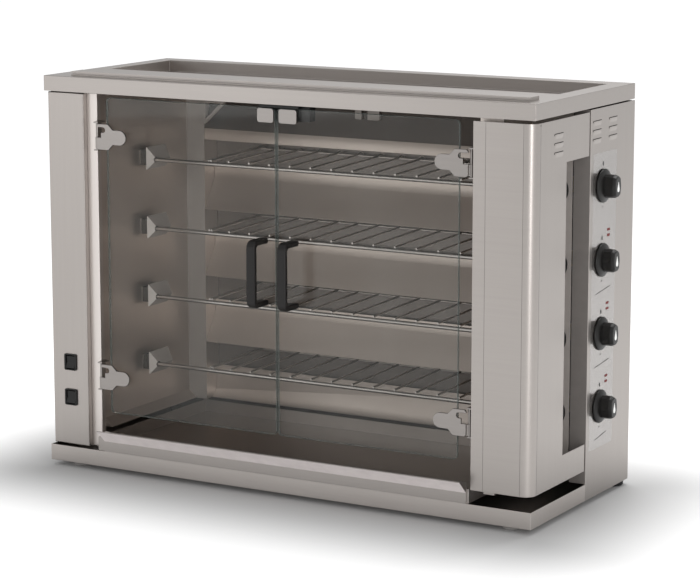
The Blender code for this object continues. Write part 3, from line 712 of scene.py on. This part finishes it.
# ---- Top cap --------------------------------------------------------------------------
# One deep-folded lid of the same brushed sheet, with a sunk warming tray and a grooved
# rail along its front.
show(folded("top_cap"), "lid", "root", "brushed_steel", [steel_across], "top_cap")

# ---- Control column -------------------------------------------------------------------
# Side sheet that carries the gas controls, with six pressed louvres and a glossy clear
# label printed with plain flames, dots, bars and rules.
SIDE = extent("top_cap")[1].x         # outer face of the side sheet
steel_side = brushed_steel("side steel brushed upright", "Z", STEEL_DARK, STEEL_LIGHT, 0.38)
shaded_sheet = moulded("galvanised sheet in shade", (0.17, 0.155, 0.145), 0.50)


def column_finish(middle, normal):
    """Galvanised sheet, painted darker as shade, on the lip that turns in behind the spit cover."""
    return int(middle.x < SIDE - 0.001 and normal.y < -0.9)


column = dressed(folded("control_column"), column_finish)
show(column, "control_panel", "root", "brushed_steel", [steel_side, shaded_sheet], "control_column")

LOUVRE = (0.034, 0.0085)              # length and height
GAP_HALF, GAP_SINK, RELIEF_RADIUS = 0.0007, 0.0002, 0.0017
# Each opening is a thin sunk strip painted near black as the shadow inside it.
shadow_slot = moulded("louvre opening painted as shadow", (0.012, 0.011, 0.011), 0.7)


def louvre():
    """A lanced flap about its own middle: its top edge stands out, its lower one is flush."""
    length, height = LOUVRE
    rise, columns, rows = 0.0015, 16, 6
    bm = bmesh.new()
    grid = []
    for row in range(rows + 1):
        v = row / rows
        line = []
        for column in range(columns + 1):
            u = column / columns
            bulge = rise * math.sin(v * math.pi / 2) ** 1.5 * min(1, 6 * u, 6 * (1 - u)) ** 0.5
            line.append(bm.verts.new((bulge, (u - 0.5) * length, (v - 0.5) * height)))
        grid.append(line)
    for low_line, high_line in zip(grid, grid[1:]):
        for i in range(columns):
            bm.faces.new((low_line[i], low_line[i + 1], high_line[i + 1], high_line[i]))
    whole = bmesh.ops.extrude_face_region(bm, geom=list(bm.faces))
    for item in whole["geom"]:
        if isinstance(item, bmesh.types.BMVert):
            item.co.x = -2 * GAP_SINK
    bmesh.ops.recalc_face_normals(bm, faces=bm.faces)
    return bm


def louvre_gap():
    """The opening over a flap, painted dark as the shadow inside it, with a round relief hole at its near
    end.
    """
    length, height = LOUVRE
    slit = extruded(rounded((length / 2, GAP_HALF), 0.0006, 2), "X", (0, GAP_SINK))
    relief = [(0, 0), (0, RELIEF_RADIUS), (GAP_SINK, RELIEF_RADIUS), (GAP_SINK, 0)]
    hole = turned(relief, "X", (0, 0), 16)
    return joined(
        moved(slit, (0, 0, height / 2 + 0.0004)), moved(hole, (0, -length / 2, height / 2 - 0.001)))


flap_shape, gap_shape = pattern(louvre(), "louvre flap"), pattern(louvre_gap(), "louvre gap")


def louvres(name, body, first, columns, finish):
    """Three rows of louvres that start at a place on the side and run down and back."""
    steps = {
        "columns": columns, "rows": 3, "column_step": (0, 0.067, 0), "row_step": (0, 0, -0.0157)}
    flaps = grown(rows_of_fittings, shape=flap_shape, first=first, finish=finish, **steps)
    gaps = grown(rows_of_fittings, shape=gap_shape, first=first, finish=shadow_slot, **steps)
    show(joined((flaps, 0), (gaps, 1)), name, body, "brushed_steel", [finish, shadow_slot])


louvres("louvres.column", "root", (SIDE, 0.246, 0.668), 2, steel_side)

LABEL_Y, LABEL_Z = (0.232, 0.330), (0.087, 0.615)


def clear_sheet(name, tint, gloss, haze):
    """See-through film or pane: what lies behind it, under a gloss that grows at a slant."""
    material, net, here = new_finish(name)
    smear = net.noise(here, (9, 9, 4), 3)
    slant = net.node("ShaderNodeLayerWeight", None, {"Blend": 0.25}, "Fresnel")
    through = net.node("ShaderNodeBsdfTransparent", None, {"Color": (*tint, 1)})
    shine = net.node("ShaderNodeBsdfPrincipled", None, {
        "Base Color": (*haze, 1), "Metallic": 1.0, "Roughness": smear * 0.05 + 0.01})
    share = slant * 0.22 + smear * gloss
    settle(net, net.node("ShaderNodeMixShader", None, {0: share, 1: through, 2: shine}))
    return material


film = clear_sheet("label film", (0.97, 0.97, 0.97), 0.03, (0.9, 0.9, 0.9))
middle = ((LABEL_Y[0] + LABEL_Y[1]) / 2, (LABEL_Z[0] + LABEL_Z[1]) / 2)
half = ((LABEL_Y[1] - LABEL_Y[0]) / 2, (LABEL_Z[1] - LABEL_Z[0]) / 2)
label = extruded(rounded(half, 0.002), "X", (SIDE + 0.00005, SIDE + 0.0002))
show(moved(label, (0, *middle)), "label", "root", "brushed_steel", [film])

FLAME_SIZE, DOT_RADIUS = 0.0052, 0.0016
RED_BAR = (0.0060, 0.0022)            # half length and half height
RULE_THICKNESS, RULE_RISE = 0.0012, 0.0070
black_ink = moulded("black marking", (0.02, 0.02, 0.02), 0.5)
red_ink = moulded("red marking", (0.14, 0.010, 0.009), 0.5)


def knob_centre(number):
    """A knob's axis, as its y and z."""
    low, high = extent(f"knob_{number}")
    return (low.y + high.y) / 2, (low.z + high.z) / 2


def mark(outline, place, finish_number):
    """A thin printed mark on the side panel."""
    printed = extruded(outline, "X", (SIDE + 0.0002, SIDE + 0.0003))
    return moved(printed, (0, *place)), finish_number


def flame_outline(size):
    """Plain flame: a drop with its tip bent over."""
    points = []
    for step in range(24):
        turn = 2 * math.pi * step / 24
        reach = size * (0.55 + 0.45 * max(0, math.sin(turn)) ** 3)
        bend = size * 0.12 * math.sin(turn) ** 2
        points.append((reach * math.cos(turn) * 0.75 + bend, reach * math.sin(turn)))
    return points


def dot_outline():
    """Sixteen-sided dot about its middle."""
    turns = [math.pi * step / 8 for step in range(16)]
    return [(DOT_RADIUS * math.cos(turn), DOT_RADIUS * math.sin(turn)) for turn in turns]


def rule_outline(reach):
    """Thin rule that rises to the rear, about its middle."""
    low, high = -0.0045, -0.0045 + RULE_RISE
    return [(-reach, low), (reach, high), (reach, high + RULE_THICKNESS), (-reach, low + RULE_THICKNESS)]


for number in (1, 2, 3, 4):
    y, z = knob_centre(number)
    marks = [mark(flame_outline(FLAME_SIZE), (y - 0.001, z + 0.038), 0)]
    marks.append(mark(dot_outline(), (y, z - 0.0375), 0))
    if number > 1:
        for rise in (0.051, 0.041):
            marks.append(mark(rounded(RED_BAR, 0.0005, 1), (y + 0.026, z + rise), 1))
        reach = 0.030 if number < 4 else 0.024
        marks.append(mark(rule_outline(reach), (y + 0.006, z - 0.0545), 0))
    show(joined(*marks), f"marks.{number}", "root", "black_plastic", [black_ink, red_ink])

# ---- Gas manifold ---------------------------------------------------------------------
# Brass pipe behind the side sheet, with a valve for each knob and the inlet that comes out
# at the back.


def cast_brass(name):
    """Brass with brown tarnish in patches and fine casting pits."""
    material, net, here = new_finish(name)
    tarnish = net.noise(here, (60,) * 3, 4)
    pits = net.noise(here, (1400,) * 3)
    settle(net, net.node("ShaderNodeBsdfPrincipled", None, {
        "Base Color": net.blend(tarnish, (0.36, 0.24, 0.09), (0.66, 0.49, 0.22)), "Metallic": 1.0,
        "Roughness": tarnish * 0.2 + 0.22, "Normal": net.bump(pits, 0.1, 0.0002)}))
    return material


brass = cast_brass("tarnished brass")
show(crisp("gas_manifold", 0.0006), "manifold", "root", "brass", [brass], "gas_manifold")

# ---- Knobs ----------------------------------------------------------------------------
# Black phenolic gas knobs: a domed skirt and a faceted grip that narrows to its end, with
# a white drop let into the end face.
SKIRT_RADIUS = 0.0298
SKIRT_PROFILE = (                     # height over the panel, and step in from the rim
    (0, 0.0008), (0.0006, 0), (0.0022, 0), (0.0034, 0.0010), (0.0050, 0.0045), (0.0064, 0.0085),
    (0.0068, 0.0110), (0.0062, 0.0125))
GRIP_HEIGHT, GRIP_WIDTH = 0.0208, 0.0142
DROP_LENGTH, DROP_RADIUS = 0.0135, 0.0045


def grip_section(scale):
    """Six-sided grip with rounded corners, taller than wide, as (y, z) pairs."""
    corners = [(-1, 0.16), (-0.80, 0.80), (-0.25, 1), (0.25, 1), (0.80, 0.80), (1, 0.16),
               (1, -0.16), (0.80, -0.80), (0.25, -1), (-0.25, -1), (-0.80, -0.80), (-1, -0.16)]
    return [(y * GRIP_WIDTH * scale, z * GRIP_HEIGHT * scale) for y, z in corners]


def lofted(sections):
    """Closed body through sections of (x, points) that match."""
    bm = bmesh.new()
    rings = [[bm.verts.new((x, y, z)) for y, z in points] for x, points in sections]
    for low_ring, high_ring in zip(rings, rings[1:]):
        for i in range(len(low_ring)):
            j = (i + 1) % len(low_ring)
            bm.faces.new((low_ring[i], low_ring[j], high_ring[j], high_ring[i]))
    bm.faces.new(rings[0])
    bm.faces.new(rings[-1])
    bmesh.ops.recalc_face_normals(bm, faces=bm.faces)
    return bm


def drop_outline(length, radius):
    """Drop with its point up, about its round end."""
    turns = [math.radians(angle) for angle in range(160, 381, 20)]
    points = [(radius * math.cos(turn), radius * math.sin(turn)) for turn in turns]
    return points + [(0.0004, length), (-0.0004, length)]


knob_plastic = moulded("knob moulding", (0.009, 0.0085, 0.008), 0.36)
for number in (1, 2, 3, 4):
    y, z = knob_centre(number)
    start, tip = (corner.x for corner in extent(f"knob_{number}"))
    rings = [(start + rise, SKIRT_RADIUS - step) for rise, step in SKIRT_PROFILE]
    skirt = turned([(start, 0), *rings, (rings[-1][0], 0)], "X", (y, z), 64)
    grip = lofted([
        (start + 0.004, grip_section(1.0)), (tip - 0.0060, grip_section(0.97)),
        (tip - 0.0001, grip_section(0.84))])
    grip = round_edges(moved(grip, (0, y, z)), 0.0014, 3, 12)
    drop = extruded(drop_outline(DROP_LENGTH, DROP_RADIUS), "X", (tip - 0.0012, tip))
    drop = moved(drop, (0, y, z - 0.0050))
    show(joined(skirt, grip, (drop, 1)), f"knob.{number}", f"knob_{number}", "black_plastic",
         [knob_plastic, white_ink], f"knob_{number}")

# ---- Spit cover -----------------------------------------------------------------------
# A folded door over the spit grips, with a large round fold at its corner, a finger slot
# down its rear edge and three louvres.
low, high = extent("spit_cover")
COVER_BEND = 0.021
cover = round_edges(merged("spit_cover"), 0.0004, 1, 60)
cover = dressed(cover, lambda middle, normal: int(abs(normal.x) < 0.98))
show(cover, "grip_cover", "spit_cover", "brushed_steel", [steel_side, steel_across], "spit_cover")


def strip(x, y, z):
    """A small square-edged bar between two x, two y and two z values."""
    return extruded([(x[0], y[0]), (x[1], y[0]), (x[1], y[1]), (x[0], y[1])], "Z", z)


SEAM, SEAM_INSET = 0.0006, 0.0232
seam_z = (low.z + 0.001, high.z - 0.001)
front, side = (low.y - 0.00008, low.y + 0.0002), (high.x - 0.0002, high.x + 0.00008)
relief = turned([(0, 0), (0, 0.0016), (0.0003, 0.0016), (0.0003, 0)], "X", (0, 0), 16)
seams = joined(
    strip((low.x + SEAM_INSET, low.x + SEAM_INSET + SEAM), front, seam_z),
    strip((high.x - COVER_BEND - SEAM, high.x - COVER_BEND), front, seam_z),
    strip(side, (low.y + COVER_BEND, low.y + COVER_BEND + SEAM), seam_z),
    moved(relief, (high.x - 0.0002, low.y + COVER_BEND, high.z - 0.004)))
seam_shade = moulded("fold line", (0.10, 0.093, 0.088), 0.5)
show(seams, "cover_seams", "spit_cover", "brushed_steel", [seam_shade])
tab = strip(
    (low.x + 0.023, low.x + 0.044), (low.y + 0.004, low.y + 0.010), (low.z - 0.005, low.z + 0.001))
show(round_edges(tab, 0.0008, 2), "cover_tab", "spit_cover", "brushed_steel", [steel_across])
louvres("louvres.cover", "spit_cover", (high.x, 0.093, 0.6615), 1, steel_side)

# ---- Drip tray ------------------------------------------------------------------------
# Pull-out tray under the chamber that catches the fat. The lip of its welded front leans
# out as a full-width pull.
# The front face of the lip, which leans down to the floor, wears a lighter copy of the steel as a painted
# highlight.
lip_painted_highlight = moulded("lip steel with painted highlight", (0.66, 0.605, 0.595), 0.45)
tray = dressed(
    folded("drip_tray", 0.0010), lambda middle, normal: int(normal.y < -0.3 and normal.z < -0.3))
show(tray, "drawer", "drip_tray", "brushed_steel", [steel_across, lip_painted_highlight], "drip_tray")

# ---- Doors ----------------------------------------------------------------------------
# Frameless tempered glass, ground and rounded at its edges, which show green. Each pane has
# two hooked clamp plates on its hinge pins, a bent pull and a folded catch plate.
glass = clear_sheet("door glass", (0.955, 0.95, 0.94), 0.02, (0.95, 0.97, 0.96))


def ground_edge(name):
    """The pane's ground rim: half of what lies behind it, half a green satin."""
    material, net, here = new_finish(name)
    cloud = net.noise(here, (30,) * 3)
    through = net.node("ShaderNodeBsdfTransparent", None, {"Color": (0.62, 0.65, 0.635, 1)})
    satin = net.node("ShaderNodeBsdfPrincipled", None, {
        "Base Color": net.blend(cloud, (0.12, 0.135, 0.13), (0.19, 0.21, 0.20)),
        "Roughness": cloud * 0.1 + 0.15})
    settle(net, net.node("ShaderNodeMixShader", None, {0: cloud * 0.2 + 0.5, 1: through, 2: satin}))
    return material


glass_rim = ground_edge("ground glass edge")
handle_plastic = moulded("handle moulding", (0.0075, 0.0065, 0.006), 0.44)
hinge_steel = brushed_steel("hinge steel", "X", (0.27, 0.251, 0.238), (0.31, 0.289, 0.275), 0.32)


def pane(node):
    """A glass door with its ground rim as the second finish."""
    bm = round_edges(merged(node), 0.0007, 2, 60)
    for face in bm.faces:
        face.material_index = 0 if abs(face.normal.y) > 0.99 else 1
    return bm


def arc(centre, radius, start, end, steps):
    """Points along an arc; its angles are in degrees."""
    angles = [math.radians(start + (end - start) * i / steps) for i in range(steps + 1)]
    return [(centre[0] + radius * math.cos(a), centre[1] + radius * math.sin(a)) for a in angles]


def clamp_outline(head):
    """Octagonal head with a stepped hook beside the pin, and a round-ended tongue."""
    near, far, tongue, end = 0.0035, 0.0385, 0.0135, 0.067
    outline = [(near, -head + 0.003), (near + 0.003, -head), (far - 0.010, -head), (far, -tongue)]
    outline += arc((end - tongue, 0), tongue, -90, 90, 14)
    outline += [(far, tongue), (far - 0.010, head), (near + 0.003, head)]
    outline += [(near, head - 0.003), (near, 0.0178)]
    outline += arc((0.0175, 0.0128), 0.0048, 90, -90, 8)
    return outline + [(0.0130, 0.0080), (0.0130, -0.0012), (near, -0.0012)]


PIN_INSET, PIN_Y = 0.0058, 0.012      # the hinge pin's place
CLAMP_Y = (0.0045, 0.0087)
KNUCKLE_RADIUS = 0.0036


def clamp_plate(node, sign):
    """Hooked plate, the knuckle under its hook and the leaf that joins them."""
    low, high = extent(node)
    pivot = low.x + PIN_INSET if sign > 0 else high.x - PIN_INSET
    height, head = (low.z + high.z) / 2, (high.z - low.z) / 2
    outline = [(pivot + sign * a, height + b) for a, b in clamp_outline(head)]
    body = round_edges(extruded(outline, "Y", CLAMP_Y), 0.0007, 2, 20)
    ends = (height - 0.022, height - 0.002)
    knuckle = turned([
        (ends[0], 0), (ends[0], KNUCKLE_RADIUS), (ends[1], KNUCKLE_RADIUS), (ends[1], 0)],
        "Z", (pivot, PIN_Y), 24)
    x = sorted((pivot, pivot + sign * 0.012))
    leaf = extruded(
        [(x[0], 0.0075), (x[1], 0.0075), (x[1], 0.0092), (x[0], 0.0092)],
        "Z", (height - 0.0215, height - 0.0025))
    return joined(body, knuckle, leaf)


for side, sign in (("left", 1), ("right", -1)):
    body = f"door_{side}"
    node = f"glass_door_{side}"
    show(pane(node), f"pane.{side}", body, "glass", [glass, glass_rim], node)
    for place in ("upper", "lower"):
        node = f"hinge_plate_{side}_{place}"
        show(clamp_plate(node, sign), f"clamp.{side}_{place}", body, "bright_steel", [hinge_steel], node)
    node = f"handle_{side}"
    pull = round_edges(merged(node), 0.0032, 4, 60)
    show(pull, f"pull.{side}", body, "black_plastic", [handle_plastic], node)
    node = f"catch_plate_{side}"
    show(crisp(node, 0.0004), f"catch.{side}", body, "bright_steel", [hinge_steel], node)

# ---- Hinge brackets and magnet --------------------------------------------------------
# Bent ears screwed to the posts hold each hinge pin; a magnet in a black block over the
# chamber holds both doors shut.
for side in ("left", "right"):
    for place in ("upper", "lower"):
        node = f"hinge_bracket_{side}_{place}"
        show(crisp(node, 0.0004), f"bracket.{side}_{place}", "root", "bright_steel", [hinge_steel], node)
magnet = crisp("magnet_catch", 0.0008)
show(magnet, "magnet", "root", "black_plastic", [black_plastic], "magnet_catch")

# ---- Floor, light and camera ----------------------------------------------------------
# Pale floor that glows a little away from the oven, so that a painted shadow lies round it, an even pale
# room, one large soft lamp above and behind, two upright softboxes, and a long lens.
FLOOR_SIZE = 40.0
FOOTPRINT = (0.50, 0.20)              # half the oven's length and depth
GLOW_REACH, GLOW = (-0.04, 0.34), 0.72    # the glow grows between these distances from it
floor = bpy.data.objects.new("floor", bpy.data.meshes.new("floor"))
ground = bmesh.new()
bmesh.ops.create_grid(ground, x_segments=1, y_segments=1, size=FLOOR_SIZE / 2)
ground.to_mesh(floor.data)
ground.free()
material, net, here = new_finish("pale floor with painted shadow")
outside = []
for axis, half in ((0, FOOTPRINT[0]), (1, FOOTPRINT[1])):
    place = net.node("ShaderNodeSeparateXYZ", None, {0: here}, output=axis)
    span = place.maths("ABSOLUTE", place, 0.0) - half
    outside.append(span.maths("MAXIMUM", span, 0.0))
away = (outside[0] * outside[0] + outside[1] * outside[1]) ** 0.5
# The glow is least next to the oven, which paints a soft shadow round it.
glow = net.node("ShaderNodeMapRange", {"interpolation_type": "SMOOTHSTEP"}, {
    "Value": away, "From Min": GLOW_REACH[0], "From Max": GLOW_REACH[1], "To Min": 0.0, "To Max": GLOW})
settle(net, net.node("ShaderNodeBsdfPrincipled", None, {
    "Base Color": (0.47, 0.47, 0.47, 1), "Roughness": 0.8, "Emission Strength": 1.0,
    "Emission Color": net.blend(glow, (0, 0, 0), (1, 1, 1))}))
floor.data.materials.append(material)
bpy.context.scene.collection.objects.link(floor)
floor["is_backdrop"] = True

world = bpy.data.worlds.new("white room")
world.use_nodes = True
net = Net(world.node_tree)
room = net.node("ShaderNodeBackground", None, {"Color": (1.0, 1.0, 1.0, 1), "Strength": 0.66})
net.node("ShaderNodeOutputWorld", None, {"Surface": room})
bpy.context.scene.world = world
bpy.context.scene.view_settings.view_transform = "Standard"


def lamp(name, place, target, size, power):
    """Soft rectangular lamp, size wide and high, aimed at a point."""
    light = bpy.data.lights.new(name, "AREA")
    light.shape, light.size, light.size_y, light.energy = "RECTANGLE", *size, power
    obj = bpy.data.objects.new(name, light)
    obj.location = place
    obj.rotation_euler = (Vector(target) - Vector(place)).to_track_quat("-Z", "Y").to_euler()
    bpy.context.scene.collection.objects.link(obj)


lamp("high lamp", (0.2, 1.3, 3.0), (0, 0, 0.3), (1.6, 1.6), 55)
lamp("left softbox", (-2.4, -3.6, 0.9), (0, 0, 0.3), (1.4, 1.4), 8)
lamp("strip softbox", (2.55, -2.1, 1.0), (0.4, 0, 0.4), (0.26, 1.9), 26)

LENS, SENSOR = 131.4, 36.0
AZIMUTH, ELEVATION = 29.7814, 10.3045
camera = bpy.data.objects.new("camera", bpy.data.cameras.new("camera"))
camera.data.lens, camera.data.sensor_width = LENS, SENSOR
camera.data.clip_end = 100
camera.location = (2.29745, -3.9652, 1.1844)
camera.rotation_euler = (math.radians(90 - ELEVATION), 0, math.radians(AZIMUTH))
bpy.context.scene.collection.objects.link(camera)
bpy.context.scene.camera = camera

low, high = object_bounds()
